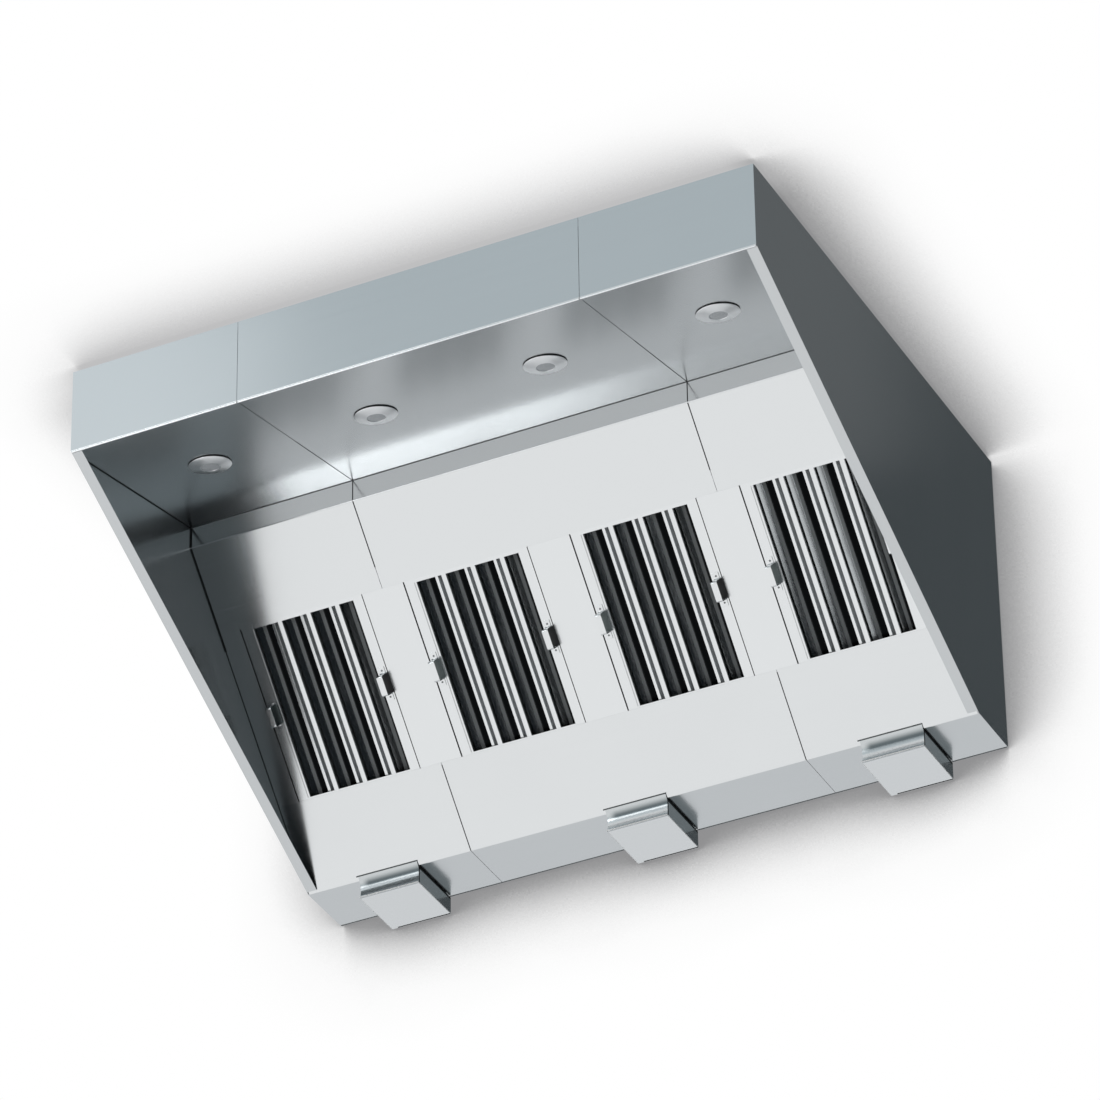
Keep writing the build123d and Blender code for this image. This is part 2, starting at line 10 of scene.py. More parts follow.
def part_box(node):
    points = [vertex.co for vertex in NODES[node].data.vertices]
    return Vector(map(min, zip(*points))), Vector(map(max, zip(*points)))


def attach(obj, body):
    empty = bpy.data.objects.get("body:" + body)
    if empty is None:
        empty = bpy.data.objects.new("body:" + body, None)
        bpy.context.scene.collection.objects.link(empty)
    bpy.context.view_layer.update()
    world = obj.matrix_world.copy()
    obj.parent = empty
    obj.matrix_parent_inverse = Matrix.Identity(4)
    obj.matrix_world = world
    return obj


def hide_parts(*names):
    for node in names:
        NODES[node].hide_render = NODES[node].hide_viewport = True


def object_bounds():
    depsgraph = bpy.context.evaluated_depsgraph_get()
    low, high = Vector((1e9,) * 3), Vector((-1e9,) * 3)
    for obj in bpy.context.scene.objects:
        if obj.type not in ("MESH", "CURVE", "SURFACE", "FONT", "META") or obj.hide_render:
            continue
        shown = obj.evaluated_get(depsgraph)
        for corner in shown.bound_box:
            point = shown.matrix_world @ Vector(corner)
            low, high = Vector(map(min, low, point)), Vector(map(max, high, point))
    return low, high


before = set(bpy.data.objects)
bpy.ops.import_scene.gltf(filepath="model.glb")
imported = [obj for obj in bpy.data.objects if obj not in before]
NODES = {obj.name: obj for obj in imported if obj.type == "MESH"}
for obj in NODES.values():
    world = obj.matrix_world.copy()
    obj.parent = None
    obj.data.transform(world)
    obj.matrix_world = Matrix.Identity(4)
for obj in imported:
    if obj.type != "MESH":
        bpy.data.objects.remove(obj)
CAD_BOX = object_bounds()

bl_info = {
    "name": "Commercial canopy hood",
    "version": (1, 0, 0),
    "blender": (4, 5, 0),
    "location": "3D View > Sidebar > Hood",
    "description": "Builds the visible finish of a commercial kitchen canopy hood",
    "category": "Object",
}

# Lengths are metres in the part's own frame: x to the right, y to the back and z up.
# Section of the canopy. The filter wall falls from the foot of the upright light strip.
FRONT = CAD_BOX[0][1]
STRIP_FOOT = Vector((0.0, -0.1175, -0.1835))
WALL_RUN = 0.688
WALL_FALL = 0.7315
WALL_LENGTH = math.hypot(WALL_RUN, WALL_FALL)
WALL_ANGLE = math.atan2(WALL_FALL, WALL_RUN)
WALL_DOWN = (math.cos(WALL_ANGLE), -math.sin(WALL_ANGLE))
WALL_INWARD = Vector((0.0, math.sin(WALL_ANGLE), math.cos(WALL_ANGLE)))
WALL_PLACE = Matrix.Translation(STRIP_FOOT) @ Matrix.Rotation(-WALL_ANGLE, 4, "X")
CEILING_RUN = 0.645
CEILING_RISE = 0.138
CEILING_ANGLE = math.atan2(CEILING_RISE, CEILING_RUN)

# Places in that section, as (y, z), where the seals and bends of the casing run
WALL_TOP = (STRIP_FOOT.y, STRIP_FOOT.z)
CEILING_EDGE = (-0.752, -0.2528)
CEILING_START = (-0.690, -0.2395)
CEILING_MIDDLE = (-0.440, -0.1860)
CEILING_BACK = (STRIP_FOOT.y, -0.117)
SEAMS = (-0.5, 0.5)
SEAM_BREAK = (0.19, 0.756)
SEAL_NARROWS = 0.30
SIDE_GAP = 0.0015
HEM_DEPTH = 0.005
HEM_DROP = 0.0045
HEM_LAP = 0.001
HEM_ROUND = 0.00225

# Bars, as offsets of their lowest and highest corner from the place they mark, and rounding
# Dark bar of painted shade in the ceiling's back corner
CEILING_CORNER = ((0.0, -0.0008, -0.0018), (0.0, 0.0004, 0.0004), 0.0003)
# Bright bar of painted highlight along the wall's top bend
WALL_BEND_HIGHLIGHT = ((0.0, -0.0016, -0.0012), (0.0, 0.0004, 0.0014), 0.0007)
# Dark bar of painted shade along the tray's rear edge
TRAY_EDGE = ((0.0, -0.0055, -0.0004), (0.0, -0.0010, 0.0004), 0.0002)
# Bright bars of painted highlight round the drawers' foot edges
FRONT_EDGE_HIGHLIGHT = ((-0.0004, -0.0016, 0.0), (0.0004, 0.0020, 0.0036), 0.0015)
SIDE_EDGE_HIGHLIGHT = ((-0.0012, 0.0, 0.0), (0.0009, -0.0020, 0.0018), 0.0006)
# Dark bars of painted shade on the drawers' lips and rear edges
FRONT_LIP_SHADE = ((-0.0060, -0.0008, -0.0016), (0.0010, 0.0010, 0.0016), 0.0006)
REAR_EDGE_SHADE = ((0.0180, -0.0050, 0.0), (0.0, -0.0004, 0.0006), 0.0002)
# Dark bars of painted shade in the drawers' gaps
FRONT_GAP_SHADE = ((-0.0001, 0.0010, 0.0030), (0.0005, 0.0065, -0.0150), 0.0002)
LEFT_GAP_SHADE = ((-0.0005, 0.0010, -0.0165), (0.0001, -0.0010, -0.0115), 0.0002)
RIGHT_GAP_SHADE = ((-0.0001, 0.0010, -0.0165), (0.0005, -0.0010, -0.0115), 0.0002)

# Baffle troughs: (across, depth) of one section, its pitch and its ends down the wall
FILTER_CENTRES = (-0.75, -0.25, 0.25, 0.75)
TROUGH_SECTION = ((-0.008, 0.009), (-0.008, 0.014), (0.016, 0.0362), (0.070, 0.042),
                  (0.0605, 0.007), (0.0515, 0.008))
TROUGH_COUNT = 4
TROUGH_PITCH = 0.0879
FIRST_TROUGH = 0.0358
TROUGH_SEAT = 0.0031
TROUGH_ENDS = (0.2465, 0.7585)
TROUGH_SHEET = 0.0010
TROUGH_BEND = 0.0012
TROUGH_FOLD_BEND = 0.0075
LAST_WALL_GAP = 0.0014
LAST_WALL_LEAN = 0.012

# Troughs' painted shade, highlight and reflection, set by depth behind the wall in metres and by
# how far the normal leans across
TROUGH_SHADE = (0.0115, 0.0130)
TROUGH_LEAN = (0.34, 0.42)
FOLD_RISE = (0.15, 0.35)
FOLD_FADE = (0.50, 0.67)
OUTSIDE_LEAN = (0.88, 0.93)
# Dull grey of the troughs' outer walls, a painted reflection
TROUGH_OUTSIDE_REFLECTION = (0.55, 0.57, 0.58)
# Dull grey of the troughs' folds, a painted highlight
TROUGH_FOLD_HIGHLIGHT = (0.30, 0.315, 0.32)
# Depths over which the returns of the frames and blank panels turn to painted shade
GAP_SHADE = (0.003, 0.007)

# Black strips of painted shade in the gaps beside each filter, and the handles, placed down the
# wall from its top
SHADE_STRIP_GAP = 0.0002
SHADE_STRIP_REACH = 0.0028
SHADE_STRIP_ENDS = (0.2515, 0.7535)
SHADE_STRIP_DEPTHS = (0.0004, 0.0020)
FILTER_FACE = 0.0018
HANDLE_RUN = 0.5025
HANDLE_OFFSET = 0.171
HANDLE_WIDTH = 0.018
HANDLE_SPAN = 0.055
HANDLE_FOOT = 0.020
HANDLE_STAND = 0.033
HANDLE_SHEET = 0.0015
HANDLE_BEND = 0.0042
# Thin sheet of painted shade on the rail under each handle strap
HANDLE_SHADE_WIDTH = 0.027
HANDLE_SHADE_SHEET = 0.0005
RIVET_SEAT = 0.0014
RIVET_STEPS = 24
RIVET = ((0.0, 0.0004), (0.0009, 0.0005), (0.0011, 0.0012), (0.0019, 0.0012), (0.0028, 0.0007),
         (0.0030, 0.0))

# Downlights: seat on the ceiling as (y, z), and closed profiles of (radius, height)
LAMP_SEAT = (-0.4574, -0.1897)
BEZEL = ((0.0436, 0.0016), (0.0560, 0.0024), (0.0585, 0.0026), (0.0588, 0.0034), (0.0560, 0.0046),
         (0.0480, 0.0066), (0.0380, 0.0086), (0.0290, 0.0102), (0.0262, 0.0107), (0.0254, 0.0106),
         (0.0250, 0.0098), (0.0250, 0.0060), (0.0385, 0.0020))
# Black ring under the bezel that paints the shade in the gap between bezel and ceiling
LAMP_GAP_SHADE = ((0.0440, 0.0), (0.0588, 0.0), (0.0588, 0.0027), (0.0440, 0.0027))
LENS = ((0.0, 0.0065), (0.0249, 0.0065), (0.0249, 0.0088), (0.0220, 0.0095), (0.0208, 0.0094),
        (0.0196, 0.0099), (0.0150, 0.0104), (0.0140, 0.0100), (0.0130, 0.0105), (0.0080, 0.0107),
        (0.0070, 0.0103), (0.0060, 0.0107), (0.0, 0.0108))

# Drawers: the front lies behind its lip, and the dark band of painted reflection fades at these
# heights, top first
DRAWERS = (1, 2, 3)
DRAWER_LIP = 0.0105
DRAWER_BAND = (-0.911, -0.928, -0.944, -0.962)
# Where in y the front's painted shade begins, and where in x from the left end the band of painted
# reflection starts
DRAWER_FACE = (0.574, 0.577)
BAND_START = (0.004, 0.030)

# Spans of the noise that the brushed lines and the speckle use
GRAIN_SPAN = (0.3, 0.7)
SPECK_SPAN = (0.35, 0.65)
SPECK_SCALE = 240.0
CLOUD_SCALE = 2.2
RELIEF_DEPTH = 0.0004

# Noise scales of finishes whose grain has no direction
EVEN = (1.0, 1.0, 1.0)
FINE = (300.0, 300.0, 300.0)

# Shading: longest short edge of a smooth face in metres, and the sharp edges' angle in degrees
FLAT_EDGE = 0.0016
ALL_SMOOTH = 1.0
SHARP_ANGLE = 32.0

# Bending, in radians: gentle turns are swept and the sharper ones bent
SWEEP_ANGLES = (0.1, 0.75)
BEND_ANGLES = (0.75, math.pi)
BEND_SEGMENTS = 6
TURN_STEPS = 96

# Studio in reflections: direction, outer and inner cosine, colour
WHITE = (1.0, 1.0, 1.0)
PALE_AREAS = (
    ((-0.366, 0.748, -0.554), 0.60, 0.95, (0.66, 0.68, 0.70)),
    ((-0.366, 0.390, -0.860), 0.80, 0.97, (0.70, 0.71, 0.72)),
    ((-0.366, -0.748, 0.554), 0.50, 0.93, (0.52, 0.58, 0.61)),
)
DARK_HALF = (0.20, 0.225, 0.235)
DARK_AREAS = (
    ((0.366, -0.909, -0.200), 0.69, 0.92, (0.006, 0.008, 0.010)),
    ((0.366, 0.748, 0.554), 0.30, 0.90, (0.055, 0.065, 0.070)),
    ((0.88, -0.26, -0.39), 0.83, 0.94, (0.004, 0.006, 0.008)),
    ((0.366, 0.143, -0.919), 0.84, 0.97, (0.27, 0.305, 0.32)),
)
DARK_SIDE = (0.0, 0.20)

# Softboxes: place, aim, size and radiance
SOFT_BOXES = (
    ("fascia_box", (-2.7, -2.65, 1.25), (-1.0, FRONT, -0.13), (2.2, 1.6), 0.26),
    ("ceiling_box", (-1.39, -2.5, -0.68), (-0.3, -0.12, -0.15), (1.4, 0.6), 2.55),
    ("side_box", (2.2, 1.5, 1.75), (1.0, -0.76, -0.1), (1.2, 1.6), 0.07),
)

# Backdrop: span of the soft shadow, and where its upper part starts in x and y
BACKDROP_SIZE = 160.0
SHADOW_SAMPLES = 8
SHADOW_SPAN = (0.45, 0.95)
SIDE_SPAN = (0.90, 1.10)
BEFORE_SPAN = (-0.70, -0.55)

# Camera fitted to the photo
CAMERA_PLACE = (6.6242, -13.4490, -10.4003)
CAMERA_RIGHT = (0.894157, 0.447578, -0.012532)
CAMERA_UP = (0.257257, -0.490628, 0.832528)
CAMERA_BACK = (0.366473, -0.747635, -0.553841)
CAMERA_SENSOR = 36.0
CAMERA_LENS = 221.74
CAMERA_REACH = 200.0


def tone(name, text, default):
    """A colour setting with its default."""
    return FloatVectorProperty(
        name=name, description=text, default=default, size=3, min=0.0, max=1.0, subtype="COLOR"
    )


def length(name, text, default):
    """A length setting in metres with its default."""
    return FloatProperty(name=name, description=text, default=default, min=0.0, unit="LENGTH")


class SteelSettings(bpy.types.PropertyGroup):
    """Colours of the hood's finishes and the spacing of their grain"""

    sheet: tone("Sheet", "Satin steel of the canopy's sheets", (0.72, 0.74, 0.75))
    filter: tone("Filter", "Bright steel of the filter frames", (0.74, 0.76, 0.77))
    # Bright steel of the fascia hems and bezel rings; on the bar along the wall's top bend it
    # paints a highlight
    hem: tone("Hem", "Bright rolled hem of the fascia", (0.92, 0.93, 0.94))
    rivet: tone("Rivet", "Dull rivets of the filter handles", (0.30, 0.31, 0.32))
    # Painted shade under the handle straps: grey under the left handles, black under the right ones
    handle_shade_left: tone("Left pad", "Grey pad under a left handle", (0.16, 0.19, 0.19))
    handle_shade_right: tone("Right pad", "Black pad under a right handle", (0.012, 0.013, 0.014))
    seal: tone("Seam seal", "Dark seal in the seams between modules", (0.02, 0.022, 0.024))
    # Painted shade in the ceiling's back corner
    corner: tone("Corner", "Shaded corner between ceiling and light strip", (0.16, 0.17, 0.175))
    # Painted shade along the tray's rear edge, also on the drawers' lips and rear edges
    edge: tone("Tray edge", "Shaded rear edge of the grease tray", (0.12, 0.13, 0.135))
    drawer: tone("Drawer", "Bright steel of the grease drawers", (0.85, 0.865, 0.87))
    # Painted highlight along the drawers' foot edges
    edge_highlight: tone("Light edge", "Pale worn edges of the drawers", (0.95, 0.95, 0.95))
    # Painted shade: the dished fronts are a darker tone of the drawer steel
    front: tone("Drawer front", "Steel of the dished drawer fronts", (0.57, 0.60, 0.61))
    # Painted dark reflection in a band across the dished fronts
    band: tone("Drawer band", "Darker band across the dished drawer fronts", (0.15, 0.175, 0.185))
    # Black that paints the shade in the gaps beside the filters, under the lamp bezels and round
    # the drawers
    gap_shade_black: tone("Rubber", "Black rubber of the gaskets", (0.008, 0.009, 0.010))
    # Painted shade: black deep in the troughs and on the returns behind the wall
    trough: tone("Trough", "Black of the openings behind the baffles", (0.004, 0.0045, 0.005))
    hidden: tone("Hidden side", "Plain steel of the parts above the canopy", (0.62, 0.64, 0.65))
    lens: tone("Lens", "Frosted lens of the downlights", (0.48, 0.50, 0.52))
    can: tone("Lamp can", "Dark paint of the lamp cans", (0.10, 0.10, 0.11))
    grain: length("Grain", "Spacing of the brushed lines", 0.0014)


class StageSettings(bpy.types.PropertyGroup):
    """Tones and places of the studio's floor, wall and ceiling"""

    shadow: tone("Shadow", "Darkest tone of the shadow on the backdrop", (0.28, 0.28, 0.285))
    shadow_reach: length("Shadow reach", "How far the hood's soft shadow spreads", 0.38)
    above: tone("Upper shadow", "Darkest tone of the shadow above the hood", (0.52, 0.52, 0.525))
    backdrop_gap: length("Wall gap", "From the back of the hood to the studio wall", 0.012)
    ceiling_gap: length("Ceiling gap", "From the top sheet to the studio ceiling", 0.02)
    floor_level: FloatProperty(
        name="Floor level", description="Height of the studio floor", default=-19.0, unit="LENGTH"
    )


def link(tree, source, target):
    """Joins two sockets of a node tree."""
    tree.links.new(source, target)


def node(tree, kind, **values):
    """Shader node with its plain properties set."""
    made = tree.nodes.new(kind)
    for key, value in values.items():
        setattr(made, key, value)
    return made


def ramp(tree, source, low, high, out_low, out_high):
    """Map Range from source's low..high to out_low..out_high."""
    made = node(tree, "ShaderNodeMapRange", interpolation_type="SMOOTHSTEP")
    link(tree, source, made.inputs["Value"])
    made.inputs["From Min"].default_value = low
    made.inputs["From Max"].default_value = high
    made.inputs["To Min"].default_value = out_low
    made.inputs["To Max"].default_value = out_high
    return made.outputs["Result"]


def blend(tree, factor, first, second):
    """Colour mix; first and second are colours or sockets."""
    made = node(tree, "ShaderNodeMix", data_type="RGBA")
    link(tree, factor, made.inputs[0])
    for index, value in ((6, first), (7, second)):
        if hasattr(value, "is_linked"):
            link(tree, value, made.inputs[index])
        else:
            made.inputs[index].default_value = (*value, 1.0)
    return made.outputs[2]


def times(tree, first, second):
    """Product of two value sockets."""
    made = node(tree, "ShaderNodeMath", operation="MULTIPLY")
    link(tree, first, made.inputs[0])
    link(tree, second, made.inputs[1])
    return made.outputs["Value"]


def along(tree, source):
    """The x, y and z sockets of a vector socket."""
    split = node(tree, "ShaderNodeSeparateXYZ")
    link(tree, source, split.inputs["Vector"])
    return split.outputs["X"], split.outputs["Y"], split.outputs["Z"]


def place_of(tree):
    """Place in the object, in metres."""
    return node(tree, "ShaderNodeTexCoord").outputs["Object"]


def shade(colour, factor):
    """Colour times factor."""
    return tuple(min(1.0, channel * factor) for channel in colour)


def new_material(name):
    """Material with its tree and its Principled shader."""
    material = bpy.data.materials.new(name)
    material.use_nodes = True
    return material, material.node_tree, material.node_tree.nodes["Principled BSDF"]


def satin_steel(name, colour, stretch, turn=0.0, roughness=(0.18, 0.22), relief=0.01):
    """Brushed steel. stretch is the grain's scale along each object axis, turn its tilt about X."""
    material, tree, shader = new_material(name)
    place = place_of(tree)
    mapping = node(tree, "ShaderNodeMapping", vector_type="POINT")
    mapping.inputs["Rotation"].default_value = (turn, 0.0, 0.0)
    link(tree, place, mapping.inputs["Vector"])
    scaled = node(tree, "ShaderNodeVectorMath", operation="MULTIPLY")
    link(tree, mapping.outputs["Vector"], scaled.inputs[0])
    scaled.inputs[1].default_value = stretch
    grain = node(tree, "ShaderNodeTexNoise", noise_dimensions="3D")
    link(tree, scaled.outputs["Vector"], grain.inputs["Vector"])
    grain.inputs["Scale"].default_value = 1.0
    grain.inputs["Detail"].default_value = 3.0
    cloud = node(tree, "ShaderNodeTexNoise", noise_dimensions="3D")
    link(tree, place, cloud.inputs["Vector"])
    cloud.inputs["Scale"].default_value = CLOUD_SCALE
    cloud.inputs["Detail"].default_value = 2.0
    lines = ramp(tree, grain.outputs["Fac"], *GRAIN_SPAN, 0.0, 1.0)
    toned = blend(tree, lines, shade(colour, 0.985), shade(colour, 1.01))
    drift = ramp(tree, cloud.outputs["Fac"], *GRAIN_SPAN, 0.0, 0.35)
    link(tree, blend(tree, drift, toned, shade(colour, 0.96)), shader.inputs["Base Color"])
    dullness = ramp(tree, grain.outputs["Fac"], *GRAIN_SPAN, *roughness)
    link(tree, dullness, shader.inputs["Roughness"])
    shader.inputs["Metallic"].default_value = 1.0
    bump = node(tree, "ShaderNodeBump")
    bump.inputs["Strength"].default_value = relief
    bump.inputs["Distance"].default_value = RELIEF_DEPTH
    link(tree, grain.outputs["Fac"], bump.inputs["Height"])
    link(tree, bump.outputs["Normal"], shader.inputs["Normal"])
    return material


def recoloured(material, mixed):
    """The same material with its base colour taken from mixed(tree)."""
    tree = material.node_tree
    link(tree, mixed(tree), tree.nodes["Principled BSDF"].inputs["Base Color"])
    return material


def into_wall(tree):
    """Distance from the filter wall's plane into the plenum."""
    inward = node(tree, "ShaderNodeVectorMath", operation="DOT_PRODUCT")
    link(tree, place_of(tree), inward.inputs[0])
    inward.inputs[1].default_value = WALL_INWARD
    depth = node(tree, "ShaderNodeMath", operation="SUBTRACT")
    link(tree, inward.outputs["Value"], depth.inputs[0])
    depth.inputs[1].default_value = STRIP_FOOT.dot(WALL_INWARD)
    return depth.outputs["Value"]


def gap_steel(name, bright, deep):
    """Bright steel with painted shade: it turns dark on its returns behind the wall."""
    def mixed(tree):
        return blend(tree, ramp(tree, into_wall(tree), *GAP_SHADE, 0.0, 1.0), bright, deep)

    return recoloured(satin_steel(name, bright, EVEN), mixed)


def trough_painted_shading(name, bright, deep):
    """Rear baffle steel: bright hooks and slopes, black floors of painted shade, a painted
    highlight in dull grey on the folds and a painted reflection in dull grey on the outer walls.
    """
    material = satin_steel(name, bright, EVEN, roughness=(0.22, 0.26), relief=0.001)
    tree = material.node_tree
    shader = tree.nodes["Principled BSDF"]
    lean = along(tree, node(tree, "ShaderNodeTexCoord").outputs["Normal"])[0]
    # Painted shade: below the hooks, faces that lean little across turn black
    below = ramp(tree, into_wall(tree), *TROUGH_SHADE, 0.0, 1.0)
    inner = blend(tree, ramp(tree, lean, *TROUGH_LEAN, 0.0, 1.0), deep, bright)
    shaded = blend(tree, below, bright, inner)
    # Painted reflection on the outer walls and painted highlight on the folds, both in dull grey
    outer = times(tree, below, ramp(tree, lean, *OUTSIDE_LEAN, 0.0, 1.0))
    rising = ramp(tree, lean, *FOLD_RISE, 0.0, 1.0)
    fading = ramp(tree, lean, *FOLD_FADE, 1.0, 0.0)
    fold_highlight = times(tree, below, times(tree, rising, fading))
    with_fold_highlight = blend(tree, fold_highlight, shaded, TROUGH_FOLD_HIGHLIGHT)
    link(tree, blend(tree, outer, with_fold_highlight, TROUGH_OUTSIDE_REFLECTION), shader.inputs["Base Color"])
    matte_painted_shading = node(tree, "ShaderNodeMath", operation="MAXIMUM")
    link(tree, outer, matte_painted_shading.inputs[0])
    link(tree, fold_highlight, matte_painted_shading.inputs[1])
    link(tree, ramp(tree, matte_painted_shading.outputs["Value"], 0.0, 1.0, 1.0, 0.0), shader.inputs["Metallic"])
    return material


def plain_finish(name, colour, roughness):
    """Moulded or painted finish with a fine mottle."""
    material, tree, shader = new_material(name)
    speck = node(tree, "ShaderNodeTexNoise", noise_dimensions="3D")
    link(tree, place_of(tree), speck.inputs["Vector"])
    speck.inputs["Scale"].default_value = SPECK_SCALE
    factor = ramp(tree, speck.outputs["Fac"], *SPECK_SPAN, 0.0, 1.0)
    mottled = blend(tree, factor, shade(colour, 0.93), shade(colour, 1.05))
    link(tree, mottled, shader.inputs["Base Color"])
    dullness = ramp(tree, speck.outputs["Fac"], *GRAIN_SPAN, roughness - 0.05, roughness + 0.05)
    link(tree, dullness, shader.inputs["Roughness"])
    return material


def drawn(points, start, end):
    """Solid with a section of (y, z) points, drawn out along x."""
    mesh = bmesh.new()
    section = mesh.faces.new([mesh.verts.new((start, y, z)) for y, z in points])
    grown = bmesh.ops.extrude_face_region(mesh, geom=[section])["geom"]
    moved = [item for item in grown if isinstance(item, bmesh.types.BMVert)]
    bmesh.ops.translate(mesh, vec=(end - start, 0.0, 0.0), verts=moved)
    bmesh.ops.recalc_face_normals(mesh, faces=mesh.faces)
    return mesh


def bent(points, start, end, thickness, bend, sweep=0.0):
    """Sheet bent along a path of (y, z) points, drawn out along x and thickened.

    bend rounds the folds, and sweep the gentler turns.
    """
    mesh = bmesh.new()
    path = [mesh.verts.new((start, y, z)) for y, z in points]
    edges = [mesh.edges.new(pair) for pair in zip(path, path[1:])]
    grown = bmesh.ops.extrude_edge_only(mesh, edges=edges)["geom"]
    moved = [item for item in grown if isinstance(item, bmesh.types.BMVert)]
    bmesh.ops.translate(mesh, vec=(end - start, 0.0, 0.0), verts=moved)
    bmesh.ops.recalc_face_normals(mesh, faces=mesh.faces)
    for offset, (low, high) in ((sweep, SWEEP_ANGLES), (bend, BEND_ANGLES)):
        folds = [edge for edge in mesh.edges
                 if len(edge.link_faces) == 2 and low < edge.calc_face_angle() < high]
        if offset and folds:
            bmesh.ops.bevel(mesh, geom=folds, offset=offset, affect="EDGES",
                            segments=BEND_SEGMENTS, profile=0.5, material=-1)
    bmesh.ops.solidify(mesh, geom=mesh.faces[:], thickness=thickness)
    bmesh.ops.recalc_face_normals(mesh, faces=mesh.faces)
    return mesh


def bar(lowest, highest, rounding):
    """Bar between two corners with its long edges rounded."""
    section = ((lowest[1], lowest[2]), (highest[1], lowest[2]), (highest[1], highest[2]),
               (lowest[1], highest[2]))
    return soften(drawn(section, lowest[0], highest[0]), rounding, 3)


def marked(low, high, offsets):
    """Bar between two places, its corners moved off them by the offsets."""
    first, last, rounding = offsets
    lowest = [place + offset for place, offset in zip(low, first)]
    highest = [place + offset for place, offset in zip(high, last)]
    return bar(lowest, highest, rounding)


def turned(points, steps=TURN_STEPS):
    """Solid of revolution about z from a closed profile of (radius, height) points."""
    mesh = bmesh.new()
    profile = [mesh.verts.new((radius, 0.0, height)) for radius, height in points]
    edges = [mesh.edges.new(pair) for pair in zip(profile, profile[1:])]
    if points[0][0] > 0.0:
        edges.append(mesh.edges.new((profile[-1], profile[0])))
    bmesh.ops.spin(mesh, geom=profile + edges, cent=(0.0, 0.0, 0.0), axis=(0.0, 0.0, 1.0),
                   angle=2.0 * math.pi, steps=steps, use_merge=True)
    bmesh.ops.remove_doubles(mesh, verts=mesh.verts, dist=1e-6)
    bmesh.ops.recalc_face_normals(mesh, faces=mesh.faces)
    return mesh


def soften(mesh, width, segments=3, limit=25.0):
    """Rounds the edges that are sharper than limit, in degrees."""
    sharp = [edge for edge in mesh.edges
             if len(edge.link_faces) == 2 and edge.calc_face_angle() > math.radians(limit)]
    bmesh.ops.bevel(mesh, geom=sharp, offset=width, affect="EDGES", segments=segments,
                    profile=0.5, material=-1, clamp_overlap=True)
    return mesh


def placed(mesh, place):
    """The same mesh, moved by the matrix place."""
    mesh.transform(place)
    return mesh


def joined(meshes):
    """One mesh from several."""
    whole = bmesh.new()
    for mesh in meshes:
        data = bpy.data.meshes.new("part")
        mesh.to_mesh(data)
        mesh.free()
        whole.from_mesh(data)
        bpy.data.meshes.remove(data)
    return whole


def finish(name, mesh, material, body, slot, *nodes, flat=FLAT_EDGE):
    """Makes the piece, which rides on a CAD body and may stand for CAD nodes.

    Faces whose shortest edge is longer than flat keep flat shading.
    """
    for face in mesh.faces:
        face.smooth = min(edge.calc_length() for edge in face.edges) < flat
    for edge in mesh.edges:
        if len(edge.link_faces) == 2 and edge.calc_face_angle() > math.radians(SHARP_ANGLE):
            edge.smooth = False
    data = bpy.data.meshes.new(name)
    mesh.to_mesh(data)
    mesh.free()
    data.materials.append(material)
    piece = bpy.data.objects.new(name, data)
    bpy.context.collection.objects.link(piece)
    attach(piece, body)
    if nodes:
        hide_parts(*nodes)
    return piece


def rib(start, end, x, width, height):
    """Thin bead on a surface from start to end, both (y, z)."""
    run = (Vector(end) - Vector(start)).normalized()
    out = Vector((run.y, -run.x)) * height
    sink = -0.5 * out
    corners = (Vector(start) + sink, Vector(end) + sink, Vector(end) + out, Vector(start) + out)
    return drawn([tuple(corner) for corner in corners], x - width / 2, x + width / 2)


def on_wall(run):
    """(y, z) place this far down the filter wall from its top."""
    return WALL_TOP[0] + run * WALL_DOWN[0], WALL_TOP[1] + run * WALL_DOWN[1]


def dress(material, *names):
    """Gives CAD nodes a finish."""
    for name in names:
        data = NODES[name].data
        data.materials.clear()
        data.materials.append(material)


def named(start):
    """CAD nodes whose names begin with start."""
    return sorted(name for name in NODES if name.startswith(start))


class HOOD_OT_sheets(bpy.types.Operator):
    """Finish the canopy's sheets: fascia, ceiling, walls, sides, tray and blank panels"""

    bl_idname = "hood.sheets"
    bl_label = "Sheet finishes"

    def execute(self, context):
        steel = context.scene.hood_steel
        lines = 1.0 / steel.grain
        lengthwise = (1.5, lines, lines)
        long_grain = satin_steel("satin_along", steel.sheet, lengthwise)
        for start in ("fascia", "lower_panel", "grease_tray"):
            dress(long_grain, *named(start))
        strip = satin_steel("satin_strip", steel.sheet, lengthwise)
        # Upper panels, with painted shade on the upright light strip
        dress(recoloured(strip, self.strip_painted_shade(steel)), *named("upper_panel"))
        sides = satin_steel("satin_sides", steel.sheet, (lines, lines, 1.5))
        dress(sides, *named("side_panel"))
        # Blank panels, with painted shade on their returns
        dress(gap_steel("blank_steel", steel.filter, steel.trough), *named("blank_panel"))
        ceiling = satin_steel("satin_ceiling", steel.sheet, lengthwise, roughness=(0.23, 0.25),
                              relief=0.002)
        dress(ceiling, *named("light_panel"))
        hidden = satin_steel("mill_steel", steel.hidden, lengthwise, roughness=(0.3, 0.42))
        dress(hidden, "top_panel", "back_panel", "plenum_wall", "filter_head_channel",
              "filter_foot_channel", "suspension_brackets", "drawer_runners", "exhaust_collar")
        return {"FINISHED"}

    def strip_painted_shade(self, steel):
        """Colour of the upper panels, with painted shade a tone darker on the upright light strip.
        """
        def mixed(tree):
            height = along(tree, place_of(tree))[2]
            low, high = STRIP_FOOT.z - 0.001, STRIP_FOOT.z + 0.001
            above = ramp(tree, height, low, high, 0.0, 1.0)
            return blend(tree, above, steel.sheet, shade(steel.sheet, 0.82))

        return mixed


